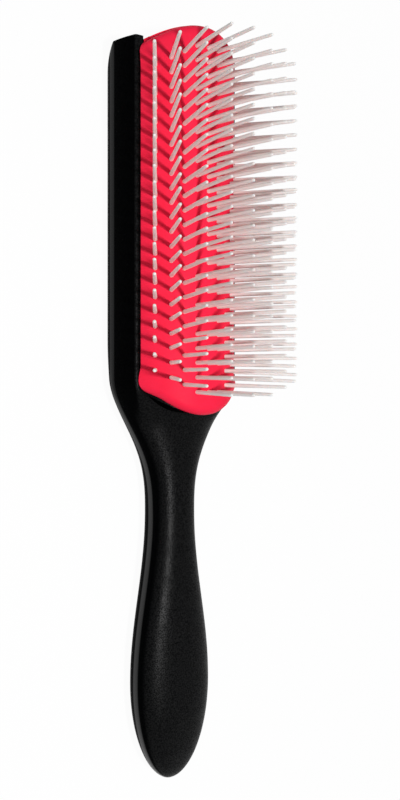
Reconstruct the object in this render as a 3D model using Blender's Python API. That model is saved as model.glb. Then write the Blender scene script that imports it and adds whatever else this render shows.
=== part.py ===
# Styling brush. One black moulding is the handle and the head. A red half-round rubber pad
# slides into grooves in the head from its tip, and nine nylon strips of pins stand through it.
# The brush lies on its back: +Z is the way the pins point, +Y runs to the tip of the head.

import math

import bmesh
import bpy
from mathutils import Matrix

# Whole brush, in metres
OVERALL_LENGTH = 0.2350
RUNNING_GAP = 0.0003
CUT_OVERRUN = 0.0020

# Handle and neck
HANDLE_CENTRE_HEIGHT = 0.0082
HANDLE_HALF_WIDTH = 0.0135
HANDLE_HALF_THICKNESS = 0.0081
HANDLE_END_LENGTH = 0.0311
HANDLE_END_POWER = 0.52
BELLY_TO_NECK = 0.0542
NECK_HALF_WIDTH = 0.0076
NECK_HALF_THICKNESS = 0.0070
SHOULDER_SHARE_POWER = 1.4
HANDLE_SECTION_POWER = 0.8

# Head of the moulding
HEAD_HALF_WIDTH = 0.0214
BACK_CORNER_RADIUS = 0.0070
RIM_HALF_WIDTH = 0.0194
RIM_HEIGHT = 0.0177
RIM_ROUNDING = 0.0011
FLOOR_THICKNESS = 0.0050
CHANNEL_HALF_WIDTH = 0.0182
LIP_HALF_GAP = 0.0166
LIP_THICKNESS = 0.0026
HEAD_TIP_RADIUS = 0.0322
TIP_BACK_ROUNDING = 0.0045
TIP_CORNER_ROUNDING = 0.0085
TIP_ROUNDING_LENGTH = 0.0085
TIP_CURVE_LENGTH = 0.0200
SHOULDER_PAST_PAD_END = 0.0116
BACK_FADE_START = 0.0012
BACK_FADE_LENGTH = 0.0220
FRONT_FADE_END = 0.0097
FRONT_FADE_LENGTH = 0.0145
BULKHEAD_THICKNESS = 0.0022
BULKHEAD_INSET = 0.0005

# Rubber pad
PAD_CENTRE_HEIGHT = 0.0070
PAD_RADIUS = 0.0213
PAD_THICKNESS = 0.0030
PAD_LENGTH = 0.1187
PAD_TIP_SETBACK = 0.0005
PAD_REAR_RADIUS = 0.0230
PAD_FRONT_RADIUS = 0.0300
PAD_END_ROUNDING = 0.0028
PAD_END_WALL = 0.0022
PAD_LEG_THICKNESS = 0.0017
PAD_LEG_ROOT = 0.0010

# Nylon pin strips. The two outer strips sit lower on the pad, with shorter pins
FAN_CENTRE_HEIGHT = 0.0045
OUTER_FAN_CENTRE_HEIGHT = 0.0007
ROW_COUNT = 9
ROW_STEP_DEGREES = 9.85
OUTER_ROW_DEGREES = 36.0
PIN_PITCH = 0.00435
PIN_END_MARGIN = 0.0060
HALF_PITCHES_LEFT_OUT = (3, 2, 1, 0, 0, 0, 1, 2, 3)
PIN_STAND_OUT = 0.0213
OUTER_PIN_STAND_OUT = 0.0205
PIN_ROOT_SIDE = 0.0013
PIN_TOP_SIDE = 0.0010
PIN_POINT_SIDE = 0.0004
PIN_POINT_LENGTH = 0.0007
STRIP_WIDTH = 0.0018
STRIP_THICKNESS = 0.0011
STRIP_END_MARGIN = 0.0014

# How finely the shapes are drawn
CORNER_STEPS = 5
WALL_STEPS = 3
TOP_SPAN_SHARES = (0.75, 0.5, 0.25, 0.0)
HANDLE_END_ANGLES = (82, 68, 53, 36, 18)
BELLY_STEPS = 9
SHOULDER_STEPS = 15
HEAD_STEPS = 5
TIP_CURVE_STEPS = 3
TIP_ROUNDING_ANGLES = (0, 22, 42, 60, 72, 80)
PAD_ROUNDING_STEPS = 3
ARC_STEPS = 22
PLAN_ARC_STEPS = 12

# Places that follow from the sizes
HANDLE_END_Y = -OVERALL_LENGTH / 2
TIP_Y = OVERALL_LENGTH / 2
BELLY_Y = HANDLE_END_Y + HANDLE_END_LENGTH
NECK_Y = BELLY_Y + BELLY_TO_NECK
PAD_FRONT_Y = TIP_Y - PAD_TIP_SETBACK
PAD_REAR_Y = PAD_FRONT_Y - PAD_LENGTH
PAD_MIDDLE_Y = (PAD_FRONT_Y + PAD_REAR_Y) / 2
SHOULDER_Y = PAD_REAR_Y + SHOULDER_PAST_PAD_END
BACK_FULL_Y = PAD_REAR_Y + BACK_FADE_START + BACK_FADE_LENGTH
LIP_UNDERSIDE = RIM_HEIGHT - LIP_THICKNESS
PAD_INNER_RADIUS = PAD_RADIUS - PAD_THICKNESS
PAD_UNDERSIDE = RIM_HEIGHT + RUNNING_GAP
PAD_TOP = PAD_CENTRE_HEIGHT + PAD_RADIUS
CHANNEL_REAR_Y = PAD_REAR_Y + BULKHEAD_THICKNESS
CHANNEL_REAR_RADIUS = PAD_REAR_RADIUS - BULKHEAD_THICKNESS
LEG_OUTER = LIP_HALF_GAP - RUNNING_GAP
LEG_INNER = LEG_OUTER - PAD_LEG_THICKNESS
OUTER_ROWS = (0, ROW_COUNT - 1)
LONGEST_ROW_PINS = 1 + int((PAD_LENGTH - 2 * PIN_END_MARGIN) / PIN_PITCH)


def mix(first, second, share):
    return first + (second - first) * share


def eased(share):
    """Rises smoothly from 0 to 1 and stays level outside."""
    share = min(max(share, 0.0), 1.0)
    return (1.0 - math.cos(math.pi * share)) / 2


def sag(radius, across):
    """How far an arc of this radius falls back at a distance from its middle."""
    return radius - math.sqrt(max(radius ** 2 - across ** 2, 0.0))


def spread(start, end, steps):
    """Evenly spaced values after start, up to and with end."""
    return [mix(start, end, (step + 1) / steps) for step in range(steps)]


def make_material(name, colour, roughness, transmission=0.0):
    material = bpy.data.materials.new(name)
    material.use_nodes = True
    shader = material.node_tree.nodes["Principled BSDF"]
    shader.inputs["Base Color"].default_value = (*colour, 1.0)
    shader.inputs["Roughness"].default_value = roughness
    shader.inputs["Metallic"].default_value = 0.0
    shader.inputs["Transmission Weight"].default_value = transmission
    material.diffuse_color = (*colour, 1.0)
    return material


def add_mesh(name, bm, collection, material=None):
    bmesh.ops.recalc_face_normals(bm, faces=bm.faces[:])
    mesh = bpy.data.meshes.new(name)
    bm.to_mesh(mesh)
    bm.free()
    if material:
        mesh.materials.append(material)
    thing = bpy.data.objects.new(name, mesh)
    collection.objects.link(thing)
    return thing


def smooth(thing, sharp_degrees=32):
    thing.data.shade_smooth()
    thing.data.set_sharp_from_angle(angle=math.radians(sharp_degrees))


def as_cutter(thing):
    thing.hide_render = True
    thing.display_type = "WIRE"
    return thing


def boolean(thing, other, operation):
    step = thing.modifiers.new(other.name, "BOOLEAN")
    step.operation = operation
    step.object = other
    step.solver = "EXACT"


def outline_prism(name, outline, depth, collection):
    """A flat outline in X and Y, given thickness along Z as a closed mesh."""
    curve = bpy.data.curves.new(name, "CURVE")
    curve.dimensions = "2D"
    curve.fill_mode = "BOTH"
    curve.extrude = depth / 2
    spline = curve.splines.new("POLY")
    spline.points.add(len(outline) - 1)
    for point, (across, along) in zip(spline.points, outline):
        point.co = (across, along, 0.0, 1.0)
    spline.use_cyclic_u = True
    drawn = bpy.data.objects.new(name, curve)
    collection.objects.link(drawn)
    evaluated = drawn.evaluated_get(bpy.context.evaluated_depsgraph_get())
    mesh = bpy.data.meshes.new_from_object(evaluated)
    bpy.data.objects.remove(drawn)
    bpy.data.curves.remove(curve)
    bm = bmesh.new()
    bm.from_mesh(mesh)
    bpy.data.meshes.remove(mesh)
    bmesh.ops.remove_doubles(bm, verts=bm.verts[:], dist=RUNNING_GAP / 100)
    return add_mesh(name, bm, collection)


def profile_along_brush(name, half_profile, rear_y, front_y, collection):
    """A mirrored X-Z profile, drawn out along Y. The half runs from low to high."""
    left = [(-across, height) for across, height in half_profile if across > 0.0]
    outline = half_profile + left[::-1]
    prism = outline_prism(name, outline, front_y - rear_y, collection)
    prism.rotation_euler = (math.radians(90), 0.0, 0.0)
    prism.location = (0.0, (front_y + rear_y) / 2, 0.0)
    return prism


def plan_arc(radius, half_width, apex_y, direction):
    """Points of an arc in plan, from +X to -X, bulging towards direction along Y."""
    points = []
    for step in range(PLAN_ARC_STEPS + 1):
        across = mix(half_width, -half_width, step / PLAN_ARC_STEPS)
        points.append((across, apex_y - direction * sag(radius, across)))
    return points


def plan_prism(name, outline, low, high, collection):
    """A plan outline, drawn up from one height to another."""
    prism = outline_prism(name, outline, high - low, collection)
    prism.location = (0.0, 0.0, (high + low) / 2)
    return prism


# Outer form of the moulding

def half_width_at(y):
    if y < BELLY_Y:
        share = (BELLY_Y - y) / HANDLE_END_LENGTH
        return HANDLE_HALF_WIDTH * max(1.0 - share ** 2, 0.0) ** HANDLE_END_POWER
    if y < NECK_Y:
        return mix(HANDLE_HALF_WIDTH, NECK_HALF_WIDTH, eased((y - BELLY_Y) / BELLY_TO_NECK))
    share = max((y - NECK_Y) / (SHOULDER_Y - NECK_Y), 0.0)
    return mix(NECK_HALF_WIDTH, HEAD_HALF_WIDTH, eased(min(share, 1.0) ** SHOULDER_SHARE_POWER))


def half_thickness_at(y):
    if y < BELLY_Y:
        share = (BELLY_Y - y) / HANDLE_END_LENGTH
        return HANDLE_HALF_THICKNESS * max(1.0 - share ** 2, 0.0) ** HANDLE_END_POWER
    if y < NECK_Y:
        share = eased((y - BELLY_Y) / BELLY_TO_NECK)
        return mix(HANDLE_HALF_THICKNESS, NECK_HALF_THICKNESS, share)
    share = eased((y - NECK_Y) / (SHOULDER_Y - NECK_Y))
    return mix(NECK_HALF_THICKNESS, HANDLE_CENTRE_HEIGHT, share)


def head_half_section():
    """Half of the head's outer section as two lists: back up to the wall, wall up to the middle."""
    flat = HEAD_HALF_WIDTH - BACK_CORNER_RADIUS
    lower = [(0.0, 0.0), (flat / 2, 0.0)]
    for step in range(CORNER_STEPS + 1):
        angle = math.radians(90) * step / CORNER_STEPS
        across = flat + BACK_CORNER_RADIUS * math.sin(angle)
        lower.append((across, BACK_CORNER_RADIUS * (1 - math.cos(angle))))
    upper = []
    wall_top = RIM_HEIGHT - RIM_ROUNDING
    for height in spread(BACK_CORNER_RADIUS, wall_top, WALL_STEPS):
        share = (height - BACK_CORNER_RADIUS) / (RIM_HEIGHT - BACK_CORNER_RADIUS)
        upper.append((mix(HEAD_HALF_WIDTH, RIM_HALF_WIDTH, share ** 2), height))
    rim_side = upper[-1][0]
    half_turn_side = RIM_ROUNDING * (1.0 - math.sqrt(0.5))
    upper.append((rim_side - half_turn_side, RIM_HEIGHT - half_turn_side))
    top_edge = rim_side - RIM_ROUNDING
    upper.append((top_edge, RIM_HEIGHT))
    for share in TOP_SPAN_SHARES:
        upper.append((top_edge * share, RIM_HEIGHT))
    return lower, upper


def handle_half_section(y, lower_count, upper_count):
    """Half a slightly full ellipse with as many points as the head's section."""
    half_width = half_width_at(y)
    half_thickness = half_thickness_at(y)
    points = []
    for index in range(lower_count + upper_count):
        if index < lower_count:
            angle = math.radians(90) * (index / (lower_count - 1) - 1)
        else:
            angle = math.radians(90) * (index - lower_count + 1) / upper_count
        rise = math.copysign(abs(math.sin(angle)) ** HANDLE_SECTION_POWER, angle)
        height = HANDLE_CENTRE_HEIGHT + half_thickness * rise
        run = max(math.cos(angle), 0.0) ** HANDLE_SECTION_POWER
        points.append((half_width * run, height))
    return points


def moulding_half_section(y):
    """The handle's ellipse turns into the head's section, its back later than its front."""
    lower, upper = head_half_section()
    ellipse = handle_half_section(y, len(lower), len(upper))
    back_share = eased((y - PAD_REAR_Y - BACK_FADE_START) / BACK_FADE_LENGTH)
    front_share = eased((y - PAD_REAR_Y - FRONT_FADE_END) / FRONT_FADE_LENGTH + 1.0)
    slimming = half_width_at(y) / HEAD_HALF_WIDTH
    points = []
    for index, (across, height) in enumerate(lower + upper):
        share = back_share if index < len(lower) else front_share
        round_across, round_height = ellipse[index]
        points.append((mix(round_across, across * slimming, share), mix(round_height, height, share)))
    return points


def moulding_stations():
    """Places along the brush, each with its share of the tip's curve and rounding."""
    stations = []
    for degrees in HANDLE_END_ANGLES:
        stations.append((BELLY_Y - HANDLE_END_LENGTH * math.sin(math.radians(degrees)), 0.0, 0.0))
    stations.append((BELLY_Y, 0.0, 0.0))
    rounding_start = TIP_Y - TIP_ROUNDING_LENGTH
    curve_start = rounding_start - TIP_CURVE_LENGTH
    straight = spread(BELLY_Y, NECK_Y, BELLY_STEPS)
    straight += spread(NECK_Y, SHOULDER_Y, SHOULDER_STEPS)
    straight += spread(SHOULDER_Y, BACK_FULL_Y, HEAD_STEPS)
    straight.append(curve_start)
    stations += [(y, 0.0, 0.0) for y in straight]
    for y in spread(curve_start, rounding_start, TIP_CURVE_STEPS)[:-1]:
        stations.append((y, (y - curve_start) / TIP_CURVE_LENGTH, 0.0))
    full_reach = math.sin(math.radians(TIP_ROUNDING_ANGLES[-1]))
    for degrees in TIP_ROUNDING_ANGLES:
        angle = math.radians(degrees)
        reach = math.sin(angle) / full_reach
        stations.append((rounding_start + TIP_ROUNDING_LENGTH * reach, 1.0, angle))
    return stations


def moulding_ring(y, curve_share, rounding_angle):
    lifted = []
    for across, height in moulding_half_section(y):
        corner_share = (across / HEAD_HALF_WIDTH) ** 2
        rounding = mix(TIP_BACK_ROUNDING, TIP_CORNER_ROUNDING, corner_share)
        if height < rounding:
            height = rounding - (rounding - height) * math.cos(rounding_angle)
        place = y - curve_share * sag(HEAD_TIP_RADIUS, min(across, LIP_HALF_GAP))
        lifted.append((across, place, height))
    mirrored = [(-across, place, height) for across, place, height in lifted[-2:0:-1]]
    return lifted + mirrored


def make_moulding_blank(bm):
    """Lofts the rings, closes the handle's end to a point and the tip with upright strips."""
    rings = []
    for station in moulding_stations():
        rings.append([bm.verts.new(point) for point in moulding_ring(*station)])
    count = len(rings[0])
    for near, far in zip(rings, rings[1:]):
        for index in range(count):
            after = (index + 1) % count
            bm.faces.new((near[index], near[after], far[after], far[index]))
    end_point = bm.verts.new((0.0, HANDLE_END_Y, HANDLE_CENTRE_HEIGHT))
    for index in range(count):
        bm.faces.new((end_point, rings[0][(index + 1) % count], rings[0][index]))
    last = rings[-1]
    top = count // 2
    for low in range(top // 2):
        high = top - low
        for strip in ((low, low + 1, high - 1, high), (-low, -high, 1 - high, -low - 1)):
            corners = dict.fromkeys(last[index % count] for index in strip)
            bm.faces.new(list(corners))


def channel_cutter(collection):
    """The pad's channel: a wide slot over the floor, with a lip over each side."""
    half_profile = [
        (CHANNEL_HALF_WIDTH, FLOOR_THICKNESS),
        (CHANNEL_HALF_WIDTH, LIP_UNDERSIDE),
        (LIP_HALF_GAP, LIP_UNDERSIDE),
        (LIP_HALF_GAP, PAD_TOP),
    ]
    beyond_tip = TIP_Y + CUT_OVERRUN
    cutter = profile_along_brush(
        "channel_cutter", half_profile, PAD_REAR_Y - CUT_OVERRUN, beyond_tip, collection)
    reach = CHANNEL_HALF_WIDTH + CUT_OVERRUN
    outline = plan_arc(CHANNEL_REAR_RADIUS, reach, CHANNEL_REAR_Y, -1)
    outline += [(-reach, beyond_tip + CUT_OVERRUN), (reach, beyond_tip + CUT_OVERRUN)]
    limit = plan_prism("channel_plan", outline, -CUT_OVERRUN, PAD_TOP + CUT_OVERRUN, collection)
    boolean(cutter, as_cutter(limit), "INTERSECT")
    return as_cutter(cutter)


def bulkhead(collection):
    """The half-round wall behind the pad's open rear end. The channel's cut trims its front."""
    root = HANDLE_CENTRE_HEIGHT
    radius = PAD_INNER_RADIUS - RUNNING_GAP
    half_width = math.sqrt(radius ** 2 - (LIP_UNDERSIDE - PAD_CENTRE_HEIGHT) ** 2)
    half_profile = [(half_width, root)] + arc_points(radius, half_width)
    corner_y = CHANNEL_REAR_Y + sag(CHANNEL_REAR_RADIUS, half_width)
    wall = profile_along_brush(
        "bulkhead", half_profile, PAD_REAR_Y - CUT_OVERRUN, corner_y + 2 * CUT_OVERRUN, collection)
    reach = half_width + CUT_OVERRUN
    rear = plan_arc(PAD_REAR_RADIUS - BULKHEAD_INSET, reach, PAD_REAR_Y + BULKHEAD_INSET, -1)
    front = plan_arc(CHANNEL_REAR_RADIUS, reach, CHANNEL_REAR_Y + CUT_OVERRUN, -1)
    limit = plan_prism("bulkhead_plan", rear + front[::-1], root - CUT_OVERRUN, PAD_TOP, collection)
    boolean(wall, as_cutter(limit), "INTERSECT")
    return as_cutter(wall)


def make_handle_body(parts, cutters, material):
    bm = bmesh.new()
    make_moulding_blank(bm)
    body = add_mesh("handle_body", bm, parts, material)
    smooth(body)
    boolean(body, bulkhead(cutters), "UNION")
    boolean(body, channel_cutter(cutters), "DIFFERENCE")
    return body


# Rubber pad

def arc_points(radius, half_width):
    """Upper arc of the pad's section, from its side at +X up to the middle."""
    side = math.asin(half_width / radius)
    points = []
    for step in range(ARC_STEPS // 2 + 1):
        angle = mix(side, 0.0, step / (ARC_STEPS // 2))
        points.append((radius * math.sin(angle), PAD_CENTRE_HEIGHT + radius * math.cos(angle)))
    return points


def pad_ring(inset, rear_ahead, front_back, share):
    """A closed ring of the pad's dome: its arc, drawn in by an inset, and its flat underside."""
    radius = PAD_RADIUS - inset
    half = arc_points(radius, math.sqrt(radius ** 2 - (PAD_UNDERSIDE - PAD_CENTRE_HEIGHT) ** 2))
    arc = half + [(-across, height) for across, height in half[-2::-1]]
    underside = [(across, PAD_UNDERSIDE) for across, _ in arc[-2:0:-1]]
    ring = []
    for across, height in arc + underside:
        rear = PAD_REAR_Y + rear_ahead + sag(PAD_REAR_RADIUS, across)
        front = PAD_FRONT_Y - front_back - sag(PAD_FRONT_RADIUS, across)
        ring.append((across, mix(rear, front, share), height))
    return ring


def make_pad_dome(parts):
    """The half-round top of the pad, its ends convex in plan and rounded over."""
    roundings = []
    for step in range(PAD_ROUNDING_STEPS + 1):
        angle = math.radians(90) * step / PAD_ROUNDING_STEPS
        inset = PAD_END_ROUNDING * (1.0 - math.sin(angle))
        roundings.append((inset, PAD_END_ROUNDING * (1.0 - math.cos(angle))))
    bm = bmesh.new()
    rings = []
    for inset, ahead in roundings:
        rings.append([bm.verts.new(point) for point in pad_ring(inset, ahead, 0.0, 0.0)])
    for inset, ahead in roundings[::-1]:
        rings.append([bm.verts.new(point) for point in pad_ring(inset, 0.0, ahead, 1.0)])
    count = len(rings[0])
    for near, far in zip(rings, rings[1:]):
        for index in range(count):
            after = (index + 1) % count
            bm.faces.new((near[index], near[after], far[after], far[index]))
    for ring in (rings[0], rings[-1]):
        for index in range(ARC_STEPS):
            strip = (index, index + 1, -index - 1, -index)
            corners = dict.fromkeys(ring[place % count] for place in strip)
            bm.faces.new(list(corners))
    return add_mesh("rubber_pad", bm, parts)


def pad_legs(collection):
    """The legs under the dome, and the flanges that run in the head's grooves."""
    flange = CHANNEL_HALF_WIDTH - RUNNING_GAP
    outer = [
        (flange, FLOOR_THICKNESS + RUNNING_GAP),
        (flange, LIP_UNDERSIDE - RUNNING_GAP),
        (LEG_OUTER, LIP_UNDERSIDE - RUNNING_GAP),
        (LEG_OUTER, PAD_UNDERSIDE + PAD_LEG_ROOT),
    ]
    legs = profile_along_brush(
        "pad_legs", outer, PAD_REAR_Y - CUT_OVERRUN, PAD_FRONT_Y + CUT_OVERRUN, collection)
    reach = flange + CUT_OVERRUN
    front = plan_arc(PAD_FRONT_RADIUS, reach, PAD_FRONT_Y, 1)
    rear = plan_arc(CHANNEL_REAR_RADIUS - RUNNING_GAP, reach, CHANNEL_REAR_Y + RUNNING_GAP, -1)
    top = PAD_UNDERSIDE + PAD_LEG_ROOT + CUT_OVERRUN
    limit = plan_prism("leg_plan", front + rear[::-1], -CUT_OVERRUN, top, collection)
    boolean(legs, as_cutter(limit), "INTERSECT")
    return as_cutter(legs)


def pad_hollow(collection):
    """The space under the dome: open below and behind, and closed by a wall at the tip."""
    inner = [(LEG_INNER, -CUT_OVERRUN)] + arc_points(PAD_INNER_RADIUS, LEG_INNER)
    hollow = profile_along_brush(
        "pad_hollow", inner, PAD_REAR_Y - CUT_OVERRUN, PAD_FRONT_Y + CUT_OVERRUN, collection)
    reach = LEG_INNER + CUT_OVERRUN
    behind = PAD_REAR_Y - 2 * CUT_OVERRUN
    front = plan_arc(PAD_FRONT_RADIUS - PAD_END_WALL, reach, PAD_FRONT_Y - PAD_END_WALL, 1)
    outline = front + [(-reach, behind), (reach, behind)]
    limit = plan_prism("hollow_plan", outline, -2 * CUT_OVERRUN, PAD_TOP, collection)
    boolean(hollow, as_cutter(limit), "INTERSECT")
    return as_cutter(hollow)


def make_rubber_pad(parts, cutters, material):
    pad = make_pad_dome(parts)
    pad.data.materials.append(material)
    boolean(pad, pad_legs(cutters), "UNION")
    boolean(pad, pad_hollow(cutters), "DIFFERENCE")
    boolean(pad, pin_holes(cutters), "DIFFERENCE")
    smooth(pad)
    return pad


# Nylon pin strips

def row_angle(row):
    """Lean of a row away from the middle of the fan."""
    from_middle = row - (ROW_COUNT - 1) / 2
    if row in OUTER_ROWS:
        return math.copysign(math.radians(OUTER_ROW_DEGREES), from_middle)
    return math.radians(ROW_STEP_DEGREES) * from_middle


def fan_height(row):
    """Height of the line from which a row's pins lean out."""
    return OUTER_FAN_CENTRE_HEIGHT if row in OUTER_ROWS else FAN_CENTRE_HEIGHT


def stand_out(row):
    return OUTER_PIN_STAND_OUT if row in OUTER_ROWS else PIN_STAND_OUT


def reach_to_arc(row, radius):
    """How far an arc about the pad's centre lies from the fan's centre, along a row's pins."""
    lean = row_angle(row)
    drop = PAD_CENTRE_HEIGHT - fan_height(row)
    return drop * math.cos(lean) + math.sqrt(radius ** 2 - (drop * math.sin(lean)) ** 2)


def pins_in_row(row):
    return LONGEST_ROW_PINS - HALF_PITCHES_LEFT_OUT[row]


def pin_places(row):
    """Places of a row's pins along the pad, counted from the middle of the pad."""
    count = pins_in_row(row)
    return [PIN_PITCH * (index - (count - 1) / 2) for index in range(count)]


def pin_holes(collection):
    """One square prism for each pin, a running gap larger all round."""
    bm = bmesh.new()
    side = PIN_ROOT_SIDE + 2 * RUNNING_GAP
    for row in range(ROW_COUNT):
        low = reach_to_arc(row, PAD_INNER_RADIUS) - CUT_OVERRUN / 2
        high = reach_to_arc(row, PAD_RADIUS) + CUT_OVERRUN / 2
        size = Matrix.Diagonal((side, side, high - low, 1.0))
        lean = Matrix.Rotation(row_angle(row), 4, "Y")
        middle = Matrix.Translation((0.0, 0.0, (low + high) / 2))
        for place in pin_places(row):
            foot = Matrix.Translation((0.0, PAD_MIDDLE_Y + place, fan_height(row)))
            bmesh.ops.create_cube(bm, size=1.0, matrix=foot @ lean @ middle @ size)
    return as_cutter(add_mesh("pin_holes", bm, collection))


def strip_line(row):
    """Where the strip's cross lines lie: its ends, and both sides of each pin."""
    places = pin_places(row)
    margin = PIN_ROOT_SIDE / 2 + STRIP_END_MARGIN
    line = [places[0] - margin]
    for place in places:
        line += [place - PIN_ROOT_SIDE / 2, place + PIN_ROOT_SIDE / 2]
    return line + [places[-1] + margin]


def grow(bm, faces, height, side):
    """Draws each pin's top face up to a height and makes it a square of this side."""
    faces = bmesh.ops.extrude_discrete_faces(bm, faces=faces)["faces"]
    for face in faces:
        middle = face.calc_center_median()
        for vert in face.verts:
            vert.co.x = math.copysign(side / 2, vert.co.x - middle.x)
            vert.co.y = middle.y + math.copysign(side / 2, vert.co.y - middle.y)
            vert.co.z = height
    return faces


def make_pin_strip(row, parts, material):
    """A flat rail under the pad with its pins, drawn upright and then leaned to its row."""
    bm = bmesh.new()
    line = strip_line(row)
    cells = len(line) - 1
    strip_top = reach_to_arc(row, PAD_INNER_RADIUS) - RUNNING_GAP
    bmesh.ops.create_grid(bm, x_segments=1, y_segments=cells, size=1.0)
    for vert in bm.verts:
        vert.co.y = line[round((vert.co.y + 1.0) / 2 * cells)]
        vert.co.x = math.copysign(STRIP_WIDTH / 2, vert.co.x)
        vert.co.z = strip_top
    top = sorted(bm.faces, key=lambda face: face.calc_center_median().y)
    pins = top[1::2]
    sides = bmesh.ops.extrude_edge_only(bm, edges=[edge for edge in bm.edges if edge.is_boundary])
    for vert in sides["geom"]:
        if isinstance(vert, bmesh.types.BMVert):
            vert.co.z -= STRIP_THICKNESS
    lower = [edge for edge in bm.edges if edge.is_boundary]
    bmesh.ops.contextual_create(bm, geom=lower)
    pins = grow(bm, pins, strip_top + RUNNING_GAP, PIN_ROOT_SIDE)
    pins_end = reach_to_arc(row, PAD_RADIUS) + stand_out(row)
    pins = grow(bm, pins, pins_end - PIN_POINT_LENGTH, PIN_TOP_SIDE)
    grow(bm, pins, pins_end, PIN_POINT_SIDE)
    strip = add_mesh(f"pin_row_{row + 1}", bm, parts, material)
    strip.location = (0.0, PAD_MIDDLE_Y, fan_height(row))
    strip.rotation_euler = (0.0, row_angle(row), 0.0)
    return strip


def main():
    for thing in list(bpy.data.objects):
        bpy.data.objects.remove(thing)
    parts = bpy.data.collections.new("styling_brush")
    cutters = bpy.data.collections.new("cutters")
    bpy.context.scene.collection.children.link(parts)
    bpy.context.scene.collection.children.link(cutters)

    black = make_material("black_moulding", (0.012, 0.012, 0.013), 0.38)
    red = make_material("red_rubber", (0.82, 0.016, 0.06), 0.5)
    nylon = make_material("white_nylon", (0.78, 0.73, 0.70), 0.35, 0.3)

    make_handle_body(parts, cutters, black)
    slide = bpy.data.objects.new("pad_slide", None)
    slide.location = (0.0, PAD_REAR_Y, 0.0)
    parts.objects.link(slide)
    moving = [make_rubber_pad(parts, cutters, red)]
    for row in range(ROW_COUNT):
        moving.append(make_pin_strip(row, parts, nylon))
    bpy.context.view_layer.update()
    for thing in moving:
        thing.parent = slide
        thing.matrix_parent_inverse = slide.matrix_world.inverted()


main()
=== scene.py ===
# Looks of the styling brush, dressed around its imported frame, in metres.
# The brush lies on its back: its pins point up along +Z and the tip of its head is at +Y.

import math
import random

import bmesh
import bpy
from mathutils import Matrix, Vector


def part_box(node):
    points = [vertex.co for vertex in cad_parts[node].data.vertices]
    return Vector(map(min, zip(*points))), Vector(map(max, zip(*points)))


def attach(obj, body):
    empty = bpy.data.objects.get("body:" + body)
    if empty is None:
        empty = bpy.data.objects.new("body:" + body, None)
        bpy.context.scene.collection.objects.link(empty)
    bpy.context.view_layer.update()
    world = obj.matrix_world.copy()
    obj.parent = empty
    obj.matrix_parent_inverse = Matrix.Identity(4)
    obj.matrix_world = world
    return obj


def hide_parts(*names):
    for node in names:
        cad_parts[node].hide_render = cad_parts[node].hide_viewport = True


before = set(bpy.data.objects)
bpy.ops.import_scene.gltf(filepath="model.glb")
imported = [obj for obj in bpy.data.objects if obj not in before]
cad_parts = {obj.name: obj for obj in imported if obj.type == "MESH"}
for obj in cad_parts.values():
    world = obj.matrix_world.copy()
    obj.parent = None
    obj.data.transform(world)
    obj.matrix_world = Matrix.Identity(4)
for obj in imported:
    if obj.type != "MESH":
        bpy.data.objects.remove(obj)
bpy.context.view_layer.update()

BODY_LOW, BODY_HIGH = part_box("handle_body")
PAD_LOW, PAD_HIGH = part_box("rubber_pad")
MIDDLE_ROW_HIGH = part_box("pin_row_5")[1]

# Camera, as fitted to the photograph's perspective
VIEW_LEAN = math.radians(38)
VIEW_HEIGHT = 0.0045
VIEW_DISTANCE = 0.3267
VIEW_ASIDE = 0.0120
VIEW_Y = 0.0029
LENS = 45.6
SENSOR = 36.0

# Lights and floor
KEY_LEAN = math.radians(13)
KEY_DISTANCE = 0.60
KEY_Y = -0.065
KEY_RADIUS = 0.028
KEY_POWER = 2.8
SKY_COLOUR = (0.95, 0.97, 1.0)
SKY_STRENGTH = 0.25
FLOOR_HALF_SIZE = 3.0
FLOOR_CLEARANCE = 0.0001
FLOOR_COLOUR = (0.85, 0.85, 0.85)
FLOOR_GLOW_SHARE = 0.96

# Handle and neck
HANDLE_END_Y = BODY_LOW.y
HANDLE_CENTRE_HEIGHT = 0.0082
HANDLE_HALF_WIDTH = 0.0135
HANDLE_HALF_THICKNESS = 0.0081
HANDLE_END_LENGTH = 0.0311
HANDLE_END_POWER = 0.52
BELLY_TO_NECK = 0.0542
NECK_HALF_WIDTH = 0.0076
NECK_HALF_THICKNESS = 0.0070
SHOULDER_SHARE_POWER = 1.4
HANDLE_SECTION_POWER = 0.8

# Head of the moulding
TIP_Y = BODY_HIGH.y
HEAD_HALF_WIDTH = BODY_HIGH.x
BACK_CORNER_RADIUS = 0.0070
RIM_HALF_WIDTH = 0.0194
RIM_HEIGHT = 0.0177
RIM_ROUNDING = 0.0011
FLOOR_THICKNESS = 0.0050
CHANNEL_HALF_WIDTH = 0.0182
LIP_HALF_GAP = 0.0166
LIP_THICKNESS = 0.0026
LIP_EDGE_EASE = 0.0003
HEAD_TIP_RADIUS = 0.0322
TIP_BACK_ROUNDING = 0.0045
TIP_CORNER_ROUNDING = 0.0085
TIP_ROUNDING_LENGTH = 0.0085
TIP_ROUNDING_TURN = math.radians(80)
TIP_CURVE_LENGTH = 0.0200
SHOULDER_PAST_PAD_END = 0.0116
BACK_FADE_START = 0.0012
BACK_FADE_LENGTH = 0.0220
FRONT_FADE_END = 0.0097
FRONT_FADE_LENGTH = 0.0145
BULKHEAD_THICKNESS = 0.0022
BULKHEAD_INSET = 0.0005
RUNNING_GAP = 0.0003
CUT_OVERRUN = 0.0020

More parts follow.
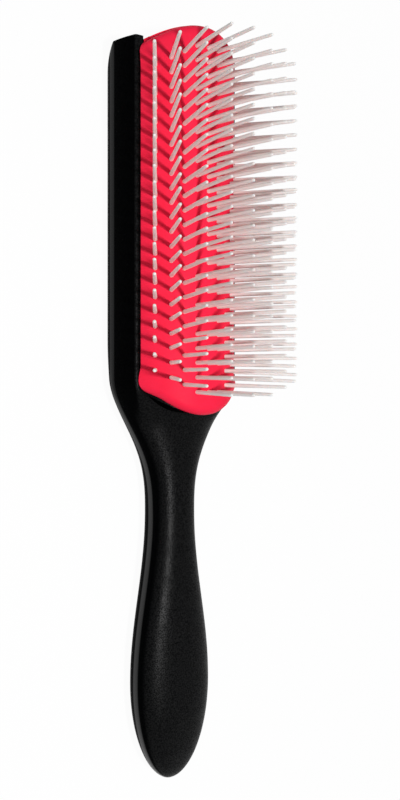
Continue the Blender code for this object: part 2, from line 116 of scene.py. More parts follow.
# Rubber pad
PAD_REAR_Y = PAD_LOW.y
PAD_FRONT_Y = PAD_HIGH.y
PAD_CENTRE_HEIGHT = 0.0070
PAD_RADIUS = PAD_HIGH.z - PAD_CENTRE_HEIGHT
PAD_THICKNESS = 0.0030
PAD_REAR_RADIUS = 0.0230
PAD_FRONT_RADIUS = 0.0300
PAD_END_ROUNDING = 0.0028
PAD_END_WALL = 0.0022
PAD_FACE_INSET = 0.0001
PAD_LEG_THICKNESS = 0.0017
PAD_LIFT = 0.0001
PAD_CORNER_START = 0.0145
PAD_CORNER_SLOPE = 0.65
REAR_FLARE = 0.0008
FRONT_FLARE = 0.0003
FLARE_LENGTH = 0.0050
FLARE_START_SHARE = 0.70
SKIN_EDGE_ROUNDING = 0.0006
DIMPLE_RADIUS = 0.0014
DIMPLE_DEPTH = 0.00025

# Nylon pins and the strips that carry them. The two outer strips sit lower on the pad
FAN_CENTRE_HEIGHT = 0.0045
OUTER_FAN_CENTRE_HEIGHT = 0.0007
ROW_COUNT = 9
OUTER_ROWS = (0, ROW_COUNT - 1)
ROW_STEP = math.radians(9.85)
OUTER_ROW_LEAN = math.radians(36)
PIN_PITCH = 0.00435
PIN_END_MARGIN = 0.0060
HALF_PITCHES_LEFT_OUT = (3, 2, 1, 0, 0, 0, 1, 2, 3)
PIN_STAND_OUT = MIDDLE_ROW_HIGH.z - PAD_HIGH.z
OUTER_PIN_STAND_OUT = 0.0205
PIN_ROOT_DIAMETER = 0.00135
PIN_TOP_DIAMETER = 0.0010
PIN_FOOT_DIAMETER = 0.0018
PIN_FOOT_HEIGHT = 0.0004
PIN_END_LENGTH = 0.0008
PIN_END_LEAN = math.radians(2.5)
PIN_LEAN_LENGTH = 0.0110
PIN_WANDER = math.radians(0.7)
STRIP_HALF_WIDTH = 0.0009
STRIP_THICKNESS = 0.0011
STRIP_END_MARGIN = 0.0014
STRIP_EDGE_EASE = 0.0002

# Black plastic: a pair of values holds the two ends of a range
WHOLE = (0.0, 1.0)
BLACK_TONES = ((0.0002, 0.0003, 0.0005), (0.0010, 0.0011, 0.0012))
FRONT_FACING = (0.30, 0.75)
FLANK_AND_FRONT_ROUGHNESS = (0.28, 0.38)
PATCH_SCALE = 160.0
PATCH_ROUGHNESS = (-0.03, 0.04)
GRAIN_SCALE = 2400.0
GRAIN_DETAIL = 2.0
GRAIN_ROUGHNESS = 0.6
GRAIN_ON_FLANK_AND_FRONT = (0.05, 1.0)
GRAIN_DEPTH = 0.00006
SPECKLE_RANGE = (0.35, 0.65)
SPECKLE_SWING = (0.4, 1.6)
SPECKLE_ON_FLANK_AND_FRONT = (0.005, 0.065)
BAND_BEND = (-0.040, 0.0)
BAND_HEIGHTS = (0.0085, 0.0074)
BAND_EDGE = (0.0007, 0.0015)
BAND_FADE = (-0.030, 0.010)
BAND_STRENGTHS = (1.0, 0.35)
BAND_SHINE = 0.25

# Red rubber, white nylon and the floor's paper
NOISE_MIDDLE = (0.3, 0.7)
RED_TONES = ((0.86, 0.014, 0.048), (0.94, 0.024, 0.074))
RED_CLOUD_SCALE = 110.0
RED_CLOUD_DETAIL = 3.0
RED_GRAIN_SCALE = 1900.0
RED_GRAIN_DEPTH = 0.00002
RED_ROUGHNESS = (0.46, 0.58)
RED_SETTINGS = {
    "Specular IOR Level": 0.06,
    "Subsurface Weight": 0.05,
    "Subsurface Radius": (1.0, 0.12, 0.14),
    "Subsurface Scale": 0.0008,
}
NYLON_TONES = ((0.94, 0.88, 0.845), (0.97, 0.92, 0.885))
NYLON_CLOUD_SCALE = 300.0
NYLON_SETTINGS = {
    "Roughness": 0.38,
    "Specular IOR Level": 0.45,
    "Subsurface Weight": 0.4,
    "Subsurface Radius": (1.0, 0.8, 0.7),
    "Subsurface Scale": 0.0010,
    "Transmission Weight": 0.08,
}
PAPER_SETTINGS = {"Base Color": (*FLOOR_COLOUR, 1.0), "Roughness": 0.9, "Specular IOR Level": 0.1}
WHITE_GLOW = {"Color": (1.0, 1.0, 1.0, 1.0), "Strength": 1.0}

# How finely the shapes are drawn
QUARTER_TURN = math.radians(90)
BODY_SHARP_ANGLE = math.radians(35)
PAD_SHARP_ANGLE = math.radians(40)
PIN_SHARP_ANGLE = math.radians(50)
BACK_SPAN_SHARES = (0.0, 0.25, 0.5, 0.75)
RING_SPACING = 0.0014
CORNER_STEPS = 12
WALL_STEPS = 10
ROUNDING_STEPS = 6
HANDLE_END_STEPS = 26
TIP_STEPS = 12
PLAN_STEPS = 36
SKIN_SPACING = 0.0005
PIN_SIDES = 14
PIN_STEPS = 4

# Places that follow from the sizes
BELLY_Y = HANDLE_END_Y + HANDLE_END_LENGTH
NECK_Y = BELLY_Y + BELLY_TO_NECK
SHOULDER_Y = PAD_REAR_Y + SHOULDER_PAST_PAD_END
LIP_UNDERSIDE = RIM_HEIGHT - LIP_THICKNESS
CHANNEL_REAR_Y = PAD_REAR_Y + BULKHEAD_THICKNESS
CHANNEL_REAR_RADIUS = PAD_REAR_RADIUS - BULKHEAD_THICKNESS
PAD_INNER_RADIUS = PAD_RADIUS - PAD_THICKNESS
PAD_UNDERSIDE = RIM_HEIGHT + PAD_LIFT
PAD_MIDDLE_Y = (PAD_FRONT_Y + PAD_REAR_Y) / 2
LEG_OUTER = LIP_HALF_GAP - RUNNING_GAP
LEG_INNER = LEG_OUTER - PAD_LEG_THICKNESS
FLANGE_HALF_WIDTH = CHANNEL_HALF_WIDTH - RUNNING_GAP
LONGEST_ROW_PINS = 1 + int((PAD_HIGH.y - PAD_LOW.y - 2 * PIN_END_MARGIN) / PIN_PITCH)


# Small helpers

def mix(first, second, share):
    return first + (second - first) * share


def eased(share):
    """Rises smoothly from 0 to 1 and stays level outside."""
    share = min(max(share, 0.0), 1.0)
    return (1.0 - math.cos(math.pi * share)) / 2


def sag(radius, across):
    """How far an arc of this radius falls back at a distance from its middle."""
    return radius - math.sqrt(max(radius ** 2 - across ** 2, 0.0))


def spread(start, end, steps):
    """Evenly spaced values after start, up to and with end."""
    return [mix(start, end, (step + 1) / steps) for step in range(steps)]


def steps_for(length, spacing):
    return max(1, round(abs(length) / spacing))


def new_object(name, bm):
    bmesh.ops.recalc_face_normals(bm, faces=bm.faces[:])
    mesh = bpy.data.meshes.new(name)
    bm.to_mesh(mesh)
    bm.free()
    thing = bpy.data.objects.new(name, mesh)
    bpy.context.scene.collection.objects.link(thing)
    return thing


def smooth(thing, sharp_angle):
    thing.data.shade_smooth()
    thing.data.set_sharp_from_angle(angle=sharp_angle)


def loft(bm, rings):
    """Joins closed rings of points with quads and returns their corners."""
    corners = [[bm.verts.new(point) for point in ring] for ring in rings]
    count = len(corners[0])
    for near, far in zip(corners, corners[1:]):
        for index in range(count):
            after = (index + 1) % count
            bm.faces.new((near[index], near[after], far[after], far[index]))
    return corners


def add_arched_block(bm, layers, rear, front):
    """A closed block from layers of half width and height, with ends that may be arcs in plan.
    Each end is a function that gives its place along the brush at a distance from the middle."""
    rings = []
    for half_width, height in layers:
        across = [mix(half_width, -half_width, step / PLAN_STEPS) for step in range(PLAN_STEPS + 1)]
        ring = [(place, front(place), height) for place in across]
        rings.append(ring + [(place, rear(place), height) for place in across[::-1]])
    corners = loft(bm, rings)
    for ring in (corners[0], corners[-1]):
        for index in range(PLAN_STEPS):
            bm.faces.new((ring[index], ring[index + 1], ring[-index - 2], ring[-index - 1]))


def arched_block(name, layers, rear, front):
    bm = bmesh.new()
    add_arched_block(bm, layers, rear, front)
    return new_object(name, bm)


def combine(thing, other, operation):
    """Adds another solid to a piece, or takes it away, for good."""
    step = thing.modifiers.new(other.name, "BOOLEAN")
    step.operation = operation
    step.object = other
    step.solver = "EXACT"
    evaluated = thing.evaluated_get(bpy.context.evaluated_depsgraph_get())
    mesh = bpy.data.meshes.new_from_object(evaluated)
    thing.modifiers.clear()
    thing.data = mesh
    bpy.data.objects.remove(other)


def dress(piece, material, body, node):
    piece.data.materials.clear()
    piece.data.materials.append(material)
    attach(piece, body)
    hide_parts(node)


# Material helpers

def new_material(name):
    material = bpy.data.materials.new(name)
    material.use_nodes = True
    tree = material.node_tree
    return material, tree, tree.nodes["Principled BSDF"]


def add_node(tree, kind, settings=None, inputs=None):
    """A node with its settings, and its sockets set to values or linked to other sockets."""
    node = tree.nodes.new(kind)
    for name, value in (settings or {}).items():
        setattr(node, name, value)
    for name, value in (inputs or {}).items():
        if isinstance(value, bpy.types.NodeSocket):
            tree.links.new(value, node.inputs[name])
        else:
            node.inputs[name].default_value = value
    return node


def object_place(tree):
    return add_node(tree, "ShaderNodeTexCoord").outputs["Object"]


def noise(tree, place, scale, detail=2.0, roughness=0.5):
    inputs = {"Vector": place, "Scale": scale, "Detail": detail, "Roughness": roughness}
    return add_node(tree, "ShaderNodeTexNoise", inputs=inputs).outputs["Fac"]


def ranged(tree, value, source, target):
    """A value's range, given by its two ends, eased into another range."""
    inputs = {"Value": value, "From Min": source[0], "From Max": source[1],
              "To Min": target[0], "To Max": target[1]}
    settings = {"interpolation_type": "SMOOTHSTEP"}
    return add_node(tree, "ShaderNodeMapRange", settings, inputs).outputs["Result"]


def calculated(tree, operation, first, second=0.0):
    inputs = {0: first, 1: second}
    return add_node(tree, "ShaderNodeMath", {"operation": operation}, inputs).outputs["Value"]


def paint(tree, shader, share, tones):
    """Gives the shader a colour between two tones, by a share from a texture."""
    ramp = add_node(tree, "ShaderNodeValToRGB", inputs={"Fac": share})
    for stop, tone in zip(ramp.color_ramp.elements, tones):
        stop.color = (*tone, 1.0)
    tree.links.new(ramp.outputs["Color"], shader.inputs["Base Color"])


def set_inputs(shader, values):
    for name, value in values.items():
        shader.inputs[name].default_value = value


def bump(tree, shader, height, distance):
    inputs = {"Height": height, "Distance": distance}
    normal = add_node(tree, "ShaderNodeBump", inputs=inputs).outputs["Normal"]
    tree.links.new(normal, shader.inputs["Normal"])


# Materials

def flank_band(tree, place):
    """The smoother band that runs along both flanks of the moulding, as a share."""
    axes = add_node(tree, "ShaderNodeSeparateXYZ", inputs={"Vector": place})
    middle = ranged(tree, axes.outputs["Y"], BAND_BEND, BAND_HEIGHTS)
    away = calculated(tree, "ABSOLUTE", calculated(tree, "SUBTRACT", axes.outputs["Z"], middle))
    strength = ranged(tree, axes.outputs["Y"], BAND_FADE, BAND_STRENGTHS)
    return calculated(tree, "MULTIPLY", strength, ranged(tree, away, BAND_EDGE, (1.0, 0.0)))


def black_plastic():
    """Black moulding: finely grained on its front, with a smooth band along its flanks."""
    material, tree, shader = new_material("black_plastic")
    place = object_place(tree)
    normal = add_node(tree, "ShaderNodeNewGeometry").outputs["Normal"]
    upwards = add_node(tree, "ShaderNodeSeparateXYZ", inputs={"Vector": normal}).outputs["Z"]
    front = ranged(tree, upwards, FRONT_FACING, WHOLE)
    band = flank_band(tree, place)
    grain = noise(tree, place, GRAIN_SCALE, GRAIN_DETAIL, GRAIN_ROUGHNESS)
    patches = noise(tree, place, PATCH_SCALE)
    paint(tree, shader, grain, BLACK_TONES)
    roughness = calculated(tree, "ADD", ranged(tree, front, WHOLE, FLANK_AND_FRONT_ROUGHNESS),
                           ranged(tree, patches, NOISE_MIDDLE, PATCH_ROUGHNESS))
    tree.links.new(roughness, shader.inputs["Roughness"])
    speckle = calculated(tree, "MULTIPLY", ranged(tree, grain, SPECKLE_RANGE, SPECKLE_SWING),
                         ranged(tree, front, WHOLE, SPECKLE_ON_FLANK_AND_FRONT))
    shine = calculated(tree, "MAXIMUM", speckle, calculated(tree, "MULTIPLY", band, BAND_SHINE))
    tree.links.new(shine, shader.inputs["Specular IOR Level"])
    grained = calculated(tree, "MULTIPLY", grain, ranged(tree, front, WHOLE, GRAIN_ON_FLANK_AND_FRONT))
    bump(tree, shader, grained, GRAIN_DEPTH)
    return material


def red_rubber():
    """Satin red rubber, faintly mottled."""
    material, tree, shader = new_material("red_rubber_pad")
    place = object_place(tree)
    clouds = noise(tree, place, RED_CLOUD_SCALE, RED_CLOUD_DETAIL)
    grain = noise(tree, place, RED_GRAIN_SCALE)
    paint(tree, shader, clouds, RED_TONES)
    tree.links.new(ranged(tree, grain, NOISE_MIDDLE, RED_ROUGHNESS), shader.inputs["Roughness"])
    set_inputs(shader, RED_SETTINGS)
    bump(tree, shader, grain, RED_GRAIN_DEPTH)
    return material


def white_nylon():
    """Milky nylon that lets a little light through."""
    material, tree, shader = new_material("white_nylon_pins")
    paint(tree, shader, noise(tree, object_place(tree), NYLON_CLOUD_SCALE), NYLON_TONES)
    set_inputs(shader, NYLON_SETTINGS)
    return material


# Outer form of the moulding

def half_width_at(y):
    if y < BELLY_Y:
        share = (BELLY_Y - y) / HANDLE_END_LENGTH
        return HANDLE_HALF_WIDTH * max(1.0 - share ** 2, 0.0) ** HANDLE_END_POWER
    if y < NECK_Y:
        return mix(HANDLE_HALF_WIDTH, NECK_HALF_WIDTH, eased((y - BELLY_Y) / BELLY_TO_NECK))
    share = min((y - NECK_Y) / (SHOULDER_Y - NECK_Y), 1.0)
    return mix(NECK_HALF_WIDTH, HEAD_HALF_WIDTH, eased(share ** SHOULDER_SHARE_POWER))


def half_thickness_at(y):
    if y < BELLY_Y:
        share = (BELLY_Y - y) / HANDLE_END_LENGTH
        return HANDLE_HALF_THICKNESS * max(1.0 - share ** 2, 0.0) ** HANDLE_END_POWER
    if y < NECK_Y:
        share = eased((y - BELLY_Y) / BELLY_TO_NECK)
        return mix(HANDLE_HALF_THICKNESS, NECK_HALF_THICKNESS, share)
    share = eased((y - NECK_Y) / (SHOULDER_Y - NECK_Y))
    return mix(NECK_HALF_THICKNESS, HANDLE_CENTRE_HEIGHT, share)


def head_half_section():
    """Half of the head's outer section as two lists: back up to the wall, wall up to the middle."""
    flat = HEAD_HALF_WIDTH - BACK_CORNER_RADIUS
    lower = [(share * flat, 0.0) for share in BACK_SPAN_SHARES]
    for step in range(CORNER_STEPS + 1):
        angle = QUARTER_TURN * step / CORNER_STEPS
        across = flat + BACK_CORNER_RADIUS * math.sin(angle)
        lower.append((across, BACK_CORNER_RADIUS * (1 - math.cos(angle))))
    upper = []
    wall_top = RIM_HEIGHT - RIM_ROUNDING
    for height in spread(BACK_CORNER_RADIUS, wall_top, WALL_STEPS):
        share = (height - BACK_CORNER_RADIUS) / (RIM_HEIGHT - BACK_CORNER_RADIUS)
        upper.append((mix(HEAD_HALF_WIDTH, RIM_HALF_WIDTH, share ** 2), height))
    rim_side = upper[-1][0]
    for angle in spread(0.0, QUARTER_TURN, ROUNDING_STEPS):
        across = rim_side - RIM_ROUNDING * (1 - math.cos(angle))
        upper.append((across, wall_top + RIM_ROUNDING * math.sin(angle)))
    upper += [(across, RIM_HEIGHT) for across in spread(upper[-1][0], 0.0, WALL_STEPS)]
    return lower, upper


def handle_half_section(y, lower_count, upper_count):
    """Half a slightly full ellipse with as many points as the head's section."""
    half_width = half_width_at(y)
    half_thickness = half_thickness_at(y)
    points = []
    for index in range(lower_count + upper_count):
        if index < lower_count:
            angle = QUARTER_TURN * (index / (lower_count - 1) - 1)
        else:
            angle = QUARTER_TURN * (index - lower_count + 1) / upper_count
        run = max(math.cos(angle), 0.0) ** HANDLE_SECTION_POWER
        rise = math.copysign(abs(math.sin(angle)) ** HANDLE_SECTION_POWER, angle)
        points.append((half_width * run, HANDLE_CENTRE_HEIGHT + half_thickness * rise))
    return points


def moulding_half_section(y):
    """The handle's ellipse, turning into the head's section first at the back."""
    lower, upper = head_half_section()
    ellipse = handle_half_section(y, len(lower), len(upper))
    back_share = eased((y - PAD_REAR_Y - BACK_FADE_START) / BACK_FADE_LENGTH)
    front_share = eased((y - PAD_REAR_Y - FRONT_FADE_END) / FRONT_FADE_LENGTH + 1.0)
    slimming = half_width_at(y) / HEAD_HALF_WIDTH
    points = []
    for index, (across, height) in enumerate(lower + upper):
        share = back_share if index < len(lower) else front_share
        round_across, round_height = ellipse[index]
        points.append((mix(round_across, across * slimming, share), mix(round_height, height, share)))
    return points


def moulding_stations():
    """Places along the brush, each with its share of the tip's curve and the turn of its rounding."""
    rounding_start = TIP_Y - TIP_ROUNDING_LENGTH
    curve_start = rounding_start - TIP_CURVE_LENGTH
    stations = []
    for angle in spread(QUARTER_TURN, 0.0, HANDLE_END_STEPS):
        stations.append((BELLY_Y - HANDLE_END_LENGTH * math.sin(angle), 0.0, 0.0))
    for y in spread(BELLY_Y, curve_start, steps_for(curve_start - BELLY_Y, RING_SPACING)):
        stations.append((y, 0.0, 0.0))
    for y in spread(curve_start, rounding_start, TIP_STEPS):
        stations.append((y, (y - curve_start) / TIP_CURVE_LENGTH, 0.0))
    for angle in spread(0.0, TIP_ROUNDING_TURN, TIP_STEPS):
        reach = math.sin(angle) / math.sin(TIP_ROUNDING_TURN)
        stations.append((rounding_start + TIP_ROUNDING_LENGTH * reach, 1.0, angle))
    return stations


def moulding_ring(station):
    y, curve_share, rounding_turn = station
    half = []
    for across, height in moulding_half_section(y):
        corner_share = (across / HEAD_HALF_WIDTH) ** 2
        rounding = mix(TIP_BACK_ROUNDING, TIP_CORNER_ROUNDING, corner_share)
        if height < rounding:
            height = rounding - (rounding - height) * math.cos(rounding_turn)
        place = y - curve_share * sag(HEAD_TIP_RADIUS, min(across, LIP_HALF_GAP))
        half.append((across, place, height))
    return half + [(-across, place, height) for across, place, height in half[-2:0:-1]]


def moulding_blank():
    bm = bmesh.new()
    rings = loft(bm, [moulding_ring(station) for station in moulding_stations()])
    count = len(rings[0])
    end_point = bm.verts.new((0.0, HANDLE_END_Y, HANDLE_CENTRE_HEIGHT))
    for index in range(count):
        bm.faces.new((end_point, rings[0][(index + 1) % count], rings[0][index]))
    last = rings[-1]
    middle = count // 2
    for low in range(middle // 2):
        high = middle - low
        for strip in ((low, low + 1, high - 1, high), (-low, -high, 1 - high, -low - 1)):
            corners = list(dict.fromkeys(last[place % count] for place in strip))
            if len(corners) > 2:
                bm.faces.new(corners)
    return new_object("brush_body", bm)


# Channel and bulkhead

def channel_rear(across):
    return CHANNEL_REAR_Y + sag(CHANNEL_REAR_RADIUS, across)


def beyond_tip(across):
    return TIP_Y + CUT_OVERRUN


def channel_groove():
    """The wide slot over the floor."""
    layers = [(CHANNEL_HALF_WIDTH, FLOOR_THICKNESS), (CHANNEL_HALF_WIDTH, LIP_UNDERSIDE)]
    return arched_block("channel_groove", layers, channel_rear, beyond_tip)


def channel_opening():
    """The narrower opening between the lips, up past the top of the bulkhead."""
    eased_gap = LIP_HALF_GAP + LIP_EDGE_EASE
    layers = [
        (LIP_HALF_GAP, LIP_UNDERSIDE - LIP_EDGE_EASE),
        (LIP_HALF_GAP, RIM_HEIGHT - LIP_EDGE_EASE),
        (eased_gap, RIM_HEIGHT),
        (eased_gap, BODY_HIGH.z + CUT_OVERRUN),
    ]
    return arched_block("channel_opening", layers, channel_rear, beyond_tip)


def arc_layers(radius, low_half_width):
    """Layers of a half-round form about the pad's centre, from its side up to its top."""
    side = math.asin(low_half_width / radius)
    angles = [mix(side, 0.0, step / PLAN_STEPS) for step in range(PLAN_STEPS)]
    return [(radius * math.sin(angle), PAD_CENTRE_HEIGHT + radius * math.cos(angle)) for angle in angles]


def bulkhead():
    """The half-round wall that closes the hollow behind the pad's open rear end."""
    radius = PAD_INNER_RADIUS - RUNNING_GAP
    half_width = math.sqrt(radius ** 2 - (LIP_UNDERSIDE - PAD_CENTRE_HEIGHT) ** 2)
    layers = [(half_width, HANDLE_CENTRE_HEIGHT)] + arc_layers(radius, half_width)

    def rear(across):
        return PAD_REAR_Y + BULKHEAD_INSET + sag(PAD_REAR_RADIUS - BULKHEAD_INSET, across)

    def front(across):
        return channel_rear(across) + CUT_OVERRUN

    return arched_block("bulkhead", layers, rear, front)


def make_handle_body(material):
    piece = moulding_blank()
    combine(piece, bulkhead(), "UNION")
    combine(piece, channel_groove(), "DIFFERENCE")
    combine(piece, channel_opening(), "DIFFERENCE")
    smooth(piece, BODY_SHARP_ANGLE)
    dress(piece, material, "handle", "handle_body")


# Rubber pad

def pin_places(row):
    """Places of a row's pins along the brush."""
    count = LONGEST_ROW_PINS - HALF_PITCHES_LEFT_OUT[row]
    return [PAD_MIDDLE_Y + PIN_PITCH * (index - (count - 1) / 2) for index in range(count)]


def row_angle(row):
    from_middle = row - (ROW_COUNT - 1) / 2
    return math.copysign(OUTER_ROW_LEAN, from_middle) if row in OUTER_ROWS else ROW_STEP * from_middle


def fan_height(row):
    """Height of the line from which a row's pins lean out."""
    return OUTER_FAN_CENTRE_HEIGHT if row in OUTER_ROWS else FAN_CENTRE_HEIGHT


def reach_to_arc(row, radius):
    """How far an arc about the pad's centre lies from the fan's centre, along a row's pins."""
    lean = row_angle(row)
    drop = PAD_CENTRE_HEIGHT - fan_height(row)
    return drop * math.cos(lean) + math.sqrt(radius ** 2 - (drop * math.sin(lean)) ** 2)


def pins_end(row):
    """Distance of a row's pin ends from the fan's centre."""
    stand_out = OUTER_PIN_STAND_OUT if row in OUTER_ROWS else PIN_STAND_OUT
    return reach_to_arc(row, PAD_RADIUS) + stand_out


def skin_angle(row):
    """Where on the pad's arc a row's pins come out."""
    return math.asin(reach_to_arc(row, PAD_RADIUS) * math.sin(row_angle(row)) / PAD_RADIUS)


def dimple_depth(angle, y):
    """How far the rubber is drawn in beside the nearest pin."""
    row = min(range(ROW_COUNT), key=lambda row: abs(angle - skin_angle(row)))
    places = pin_places(row)
    nearest = places[min(max(round((y - places[0]) / PIN_PITCH), 0), len(places) - 1)]
    distance = math.hypot((angle - skin_angle(row)) * PAD_RADIUS, y - nearest)
    return DIMPLE_DEPTH * (1.0 - eased(distance / DIMPLE_RADIUS))


def pad_rear(across):
    """The pad's rear end: an arc in plan that straightens towards its corners."""
    reach = min(abs(across), PAD_CORNER_START)
    return PAD_REAR_Y + sag(PAD_REAR_RADIUS, reach) + PAD_CORNER_SLOPE * (abs(across) - reach)


def pad_front(across):
    return PAD_FRONT_Y - sag(PAD_FRONT_RADIUS, across)


def leg_rear(across):
    return CHANNEL_REAR_Y + RUNNING_GAP + sag(CHANNEL_REAR_RADIUS - RUNNING_GAP, across)


def skin_point(angle, side, inset, rear_ahead, front_back, share):
    """A point of the dome, dimpled around the pins and flared at the pad's corners.
    The edge over the rim is rounded, but never sinks below the pad's underside."""
    radius = PAD_RADIUS - inset
    reach = PAD_RADIUS * math.sin(angle)
    rear = pad_rear(reach) + rear_ahead
    front = pad_front(reach) - front_back
    y = mix(rear, front, share)
    flare = max(REAR_FLARE * (1.0 - eased((y - rear) / FLARE_LENGTH)),
                FRONT_FLARE * (1.0 - eased((front - y) / FLARE_LENGTH)))
    outwards = flare * eased((abs(angle) / side - FLARE_START_SHARE) / (1.0 - FLARE_START_SHARE))
    to_edge = (side - abs(angle)) * PAD_RADIUS / SKIN_EDGE_ROUNDING
    radius -= dimple_depth(angle, y) + SKIN_EDGE_ROUNDING * sag(1.0, max(1.0 - to_edge, 0.0))
    across = math.copysign(outwards, angle) + radius * math.sin(angle)
    return (across, y, max(PAD_CENTRE_HEIGHT + radius * math.cos(angle), PAD_UNDERSIDE))


def pad_ring(inset, rear_ahead, front_back, share):
    """The pad's section as a closed ring: over its outside from side to side, and back inside."""
    side = math.acos((PAD_UNDERSIDE - PAD_CENTRE_HEIGHT) / (PAD_RADIUS - inset))
    inner_side = math.asin(LEG_INNER / PAD_INNER_RADIUS)
    columns = 2 * steps_for(PAD_RADIUS, SKIN_SPACING)
    outer = []
    inner = []
    for step in range(columns + 1):
        place = 1.0 - 2.0 * step / columns
        outer.append(skin_point(side * place, side, inset, rear_ahead, front_back, share))
        across = PAD_INNER_RADIUS * math.sin(inner_side * place)
        height = PAD_CENTRE_HEIGHT + PAD_INNER_RADIUS * math.cos(inner_side * place)
        reach = PAD_RADIUS * math.sin(side * place)
        y = mix(pad_rear(reach) + rear_ahead, pad_front(reach) - front_back, share)
        inner.append((across, y, height))

    def leg_point(across, height):
        return (across, mix(leg_rear(across), pad_front(across) - front_back, share), height)

    foot = FLOOR_THICKNESS + RUNNING_GAP
    flange_top = LIP_UNDERSIDE - RUNNING_GAP
    ease_start = PAD_UNDERSIDE - LIP_EDGE_EASE
    outer_leg = [(FLANGE_HALF_WIDTH, foot), (FLANGE_HALF_WIDTH, flange_top), (LEG_OUTER, flange_top),
                 (LEG_OUTER, ease_start), (LEG_OUTER + LIP_EDGE_EASE, PAD_UNDERSIDE)]
    inner_leg = [(LEG_INNER, height)
                 for height in (foot, foot + RUNNING_GAP, flange_top, ease_start, PAD_UNDERSIDE)]
    outer = [leg_point(*point) for point in outer_leg] + outer
    outer += [leg_point(-across, height) for across, height in outer_leg[::-1]]
    inner = [leg_point(*point) for point in inner_leg] + inner
    inner += [leg_point(-across, height) for across, height in inner_leg[::-1]]
    return outer + inner[::-1]


def add_tip_wall(bm):
    """The wall that closes the hollow of the pad at its tip."""
    radius = PAD_INNER_RADIUS + RUNNING_GAP
    half_width = LEG_INNER + RUNNING_GAP
    layers = [(half_width, FLOOR_THICKNESS + RUNNING_GAP)] + arc_layers(radius, half_width)

    def inside(across):
        return pad_front(across) - PAD_END_WALL

    def outside(across):
        return pad_front(across) - PAD_FACE_INSET

    add_arched_block(bm, layers, inside, outside)


def make_rubber_pad(material):
    """The half-round pad on its two legs, with ends that are convex in plan and rounded over."""
    roundings = []
    for step in range(ROUNDING_STEPS + 1):
        angle = QUARTER_TURN * step / ROUNDING_STEPS
        roundings.append((PAD_END_ROUNDING * (1.0 - math.sin(angle)),
                          PAD_END_ROUNDING * (1.0 - math.cos(angle))))
    rings = [pad_ring(inset, ahead, 0.0, 0.0) for inset, ahead in roundings]
    steps = steps_for(PAD_FRONT_Y - PAD_REAR_Y, SKIN_SPACING)
    for share in spread(0.0, 1.0, steps)[:-1]:
        rings.append(pad_ring(0.0, PAD_END_ROUNDING, PAD_END_ROUNDING, share))
    rings += [pad_ring(inset, 0.0, back, 1.0) for inset, back in roundings[::-1]]
    bm = bmesh.new()
    corners = loft(bm, rings)
    for ring in (corners[0], corners[-1]):
        for index in range(len(ring) // 2 - 1):
            bm.faces.new((ring[index], ring[index + 1], ring[-index - 2], ring[-index - 1]))
    add_tip_wall(bm)
    piece = new_object("pad_skin", bm)
    smooth(piece, PAD_SHARP_ANGLE)
    dress(piece, material, "pad", "rubber_pad")


# Nylon pins

def pin_profile(strip_top, end):
    """Radius and height of each ring of a pin, from its foot on the strip to its round end."""
    root = PIN_ROOT_DIAMETER / 2
    top = PIN_TOP_DIAMETER / 2
    straight_end = end - PIN_END_LENGTH
    foot = strip_top + PIN_FOOT_HEIGHT
    profile = [(PIN_FOOT_DIAMETER / 2, strip_top - STRIP_EDGE_EASE), (root, foot)]
    for height in spread(foot, straight_end, PIN_STEPS):
        profile.append((mix(root, top, (height - foot) / (straight_end - foot)), height))
    for angle in spread(0.0, QUARTER_TURN, PIN_STEPS)[:-1]:
        profile.append((top * math.cos(angle), straight_end + PIN_END_LENGTH * math.sin(angle)))
    return profile


def add_pin(bm, y, strip_top, end, lean):
    """A tapered pin whose length over the strip leans along the brush."""
    drift = math.tan(lean)
    rings = []
    for radius, height in pin_profile(strip_top, end):
        place = y + (height - strip_top) * drift
        ring = []
        for side in range(PIN_SIDES):
            angle = 2 * math.pi * side / PIN_SIDES
            ring.append((radius * math.cos(angle), place + radius * math.sin(angle), height))
        rings.append(ring)
    corners = loft(bm, rings)
    point = bm.verts.new((0.0, y + (end - strip_top) * drift, end))
    for side in range(PIN_SIDES):
        bm.faces.new((corners[-1][side], corners[-1][(side + 1) % PIN_SIDES], point))
    bm.faces.new(corners[0][::-1])


def add_rail(bm, start, end, top):
    """The strip's flat rail, with its long edges eased."""
    low = top - STRIP_THICKNESS
    side = STRIP_HALF_WIDTH - STRIP_EDGE_EASE
    half = [(side, low), (STRIP_HALF_WIDTH, low + STRIP_EDGE_EASE),
            (STRIP_HALF_WIDTH, top - STRIP_EDGE_EASE), (side, top)]
    section = half + [(-across, height) for across, height in half[::-1]]
    rings = loft(bm, [[(across, y, height) for across, height in section] for y in (start, end)])
    bm.faces.new(rings[0][::-1])
    bm.faces.new(rings[1])


def make_pin_strip(row, material):
    bm = bmesh.new()
    chance = random.Random(row)
    places = pin_places(row)
    strip_top = reach_to_arc(row, PAD_INNER_RADIUS) - RUNNING_GAP
    margin = PIN_ROOT_DIAMETER / 2 + STRIP_END_MARGIN
    add_rail(bm, places[0] - margin, places[-1] + margin, strip_top)
    for y in places:
        end_share = 1.0 - eased((y - places[0]) / PIN_LEAN_LENGTH)
        lean = chance.uniform(-PIN_WANDER, PIN_WANDER) - PIN_END_LEAN * end_share
        add_pin(bm, y, strip_top, pins_end(row), lean)
    place = Matrix.Translation((0.0, 0.0, fan_height(row))) @ Matrix.Rotation(row_angle(row), 4, "Y")
    bmesh.ops.transform(bm, matrix=place, verts=bm.verts[:])
    piece = new_object(f"pins_{row + 1}", bm)
    smooth(piece, PIN_SHARP_ANGLE)
    dress(piece, material, "pad", f"pin_row_{row + 1}")


# Stage

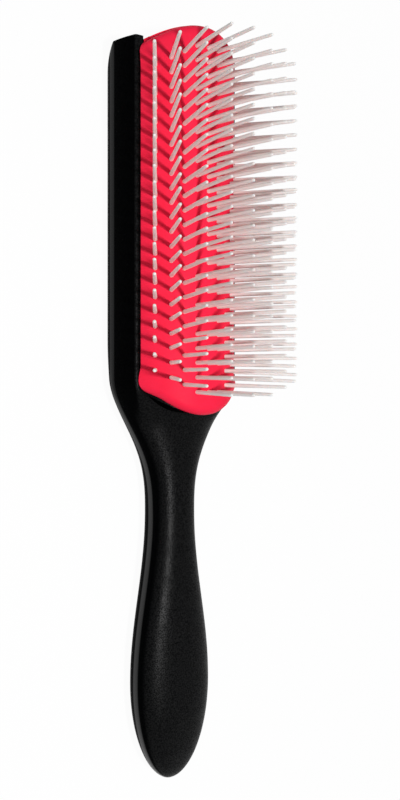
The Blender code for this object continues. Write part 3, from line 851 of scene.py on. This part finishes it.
def add_camera():
    data = bpy.data.cameras.new("camera")
    data.sensor_width = SENSOR
    data.lens = LENS
    camera = bpy.data.objects.new("camera", data)
    bpy.context.scene.collection.objects.link(camera)
    back = Vector((-math.sin(VIEW_LEAN), 0.0, math.cos(VIEW_LEAN)))
    right = Vector((math.cos(VIEW_LEAN), 0.0, math.sin(VIEW_LEAN)))
    target = Vector((0.0, VIEW_Y, VIEW_HEIGHT))
    camera.location = target + right * VIEW_ASIDE + back * VIEW_DISTANCE
    turn = Matrix((right, Vector((0.0, 1.0, 0.0)), back)).transposed()
    camera.rotation_euler = turn.to_euler()
    bpy.context.scene.camera = camera


def add_lamp(name, place, target, radius, power):
    data = bpy.data.lights.new(name, "AREA")
    data.shape = "DISK"
    data.size = 2 * radius
    data.energy = power
    lamp = bpy.data.objects.new(name, data)
    bpy.context.scene.collection.objects.link(lamp)
    lamp.location = place
    lamp.rotation_euler = (Vector(target) - Vector(place)).to_track_quat("-Z", "Y").to_euler()


def seen_directly(tree):
    """1 for what the camera, a reflection or a clear material sees, and 0 for light that is cast."""
    path = add_node(tree, "ShaderNodeLightPath").outputs
    seen = calculated(tree, "MAXIMUM", path["Is Camera Ray"], path["Is Glossy Ray"])
    return calculated(tree, "MAXIMUM", seen, path["Is Transmission Ray"])


def add_world():
    """A dim, even sky that shows as white."""
    world = bpy.data.worlds.new("studio")
    world.use_nodes = True
    tree = world.node_tree
    sky = tree.nodes["Background"]
    sky.inputs["Color"].default_value = (*SKY_COLOUR, 1.0)
    sky.inputs["Strength"].default_value = SKY_STRENGTH
    white = add_node(tree, "ShaderNodeBackground", inputs=WHITE_GLOW)
    inputs = {0: seen_directly(tree), 1: sky.outputs["Background"], 2: white.outputs["Background"]}
    blend = add_node(tree, "ShaderNodeMixShader", inputs=inputs)
    tree.links.new(blend.outputs["Shader"], tree.nodes["World Output"].inputs["Surface"])
    bpy.context.scene.world = world


def add_floor():
    """White paper that keeps the brush's soft shadow."""
    material, tree, shader = new_material("floor_paper")
    set_inputs(shader, PAPER_SETTINGS)
    white = add_node(tree, "ShaderNodeEmission", inputs=WHITE_GLOW)
    share = calculated(tree, "MULTIPLY", seen_directly(tree), FLOOR_GLOW_SHARE)
    inputs = {0: share, 1: shader.outputs["BSDF"], 2: white.outputs["Emission"]}
    blend = add_node(tree, "ShaderNodeMixShader", inputs=inputs)
    tree.links.new(blend.outputs["Shader"], tree.nodes["Material Output"].inputs["Surface"])
    bm = bmesh.new()
    bmesh.ops.create_grid(bm, x_segments=1, y_segments=1, size=FLOOR_HALF_SIZE)
    floor = new_object("floor", bm)
    floor.data.materials.append(material)
    floor.location = (0.0, 0.0, -FLOOR_CLEARANCE)


def main():
    bpy.context.scene.view_settings.view_transform = "Standard"
    add_camera()
    add_world()
    add_floor()
    key = (-KEY_DISTANCE * math.sin(KEY_LEAN), KEY_Y, KEY_DISTANCE * math.cos(KEY_LEAN))
    add_lamp("key", key, (0.0, 0.0, 0.0), KEY_RADIUS, KEY_POWER)

    make_handle_body(black_plastic())
    make_rubber_pad(red_rubber())
    nylon = white_nylon()
    for row in range(ROW_COUNT):
        make_pin_strip(row, nylon)


main()
